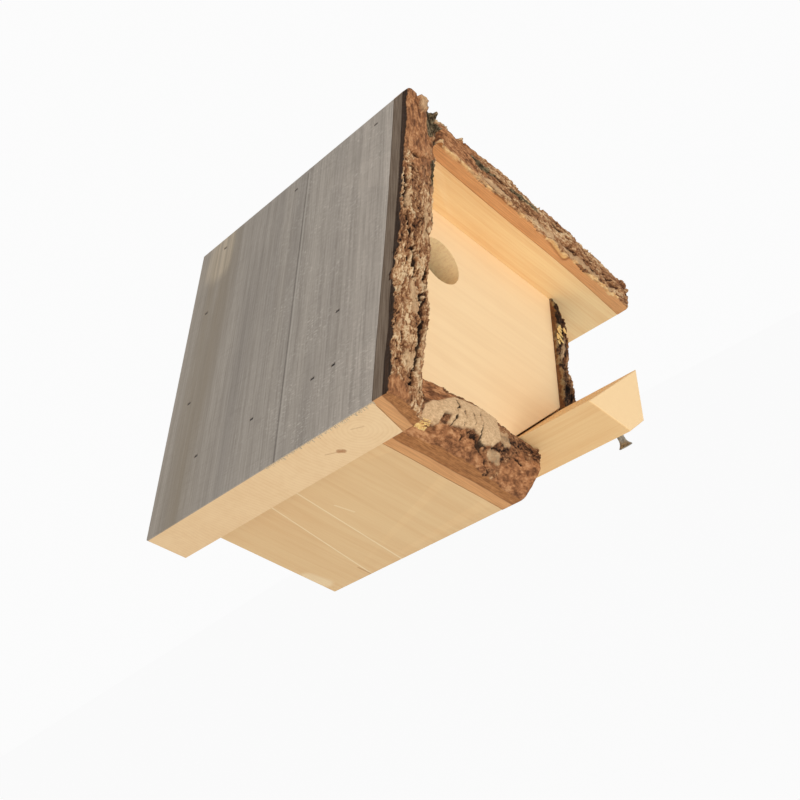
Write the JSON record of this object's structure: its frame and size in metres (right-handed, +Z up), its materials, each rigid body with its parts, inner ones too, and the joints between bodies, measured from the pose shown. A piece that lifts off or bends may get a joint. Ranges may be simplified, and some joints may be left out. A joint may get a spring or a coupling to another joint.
{
  "type": "birdhouse",
  "caption": "Hanging chalet birdhouse of bark-edged boards set as a diamond, with a gable roof, a round flight hole in the set-back front and a bevelled floor board that pulls out for cleaning.",
  "frame": {"origin": "middle of the hanging hole at the back face, where the wall or trunk is", "axes": "+Z up to the ridge, -Y out of the front with the flight hole, +X to the right as seen from the front"},
  "size_m": [0.3083, 0.2135, 0.2394],
  "materials": {
    "weathered_wood": "rough sawn, weathered grey",
    "sawn_wood": "rough sawn, untreated",
    "pale_wood": "planed, untreated",
    "bark": "rough fissured bark",
    "steel": "dull zinc"
  },
  "bodies": {
    "house": {"roof_board_left": "weathered_wood", "roof_bark_left": "bark", "roof_board_right": "sawn_wood", "roof_bark_right": "bark", "side_board_left": "sawn_wood", "side_bark_left": "bark", "side_board_right": "sawn_wood", "side_bark_right": "bark", "front_wall": "pale_wood", "back_wall": "sawn_wood", "ridge_nails": "steel", "left_side_nails": "steel", "left_back_nails": "steel", "left_front_nail": "steel", "right_side_nails": "steel", "right_back_nails": "steel", "right_front_nails": "steel"},
    "floor": {"floor_slide": "sawn_wood", "pull_screw": "steel"}
  },
  "joints": [
    {"name": "floor_pull", "type": "slide", "parent": "house", "child": "floor", "axis": [0, -1, 0], "range_m": [0, 0.145]}
  ]
}
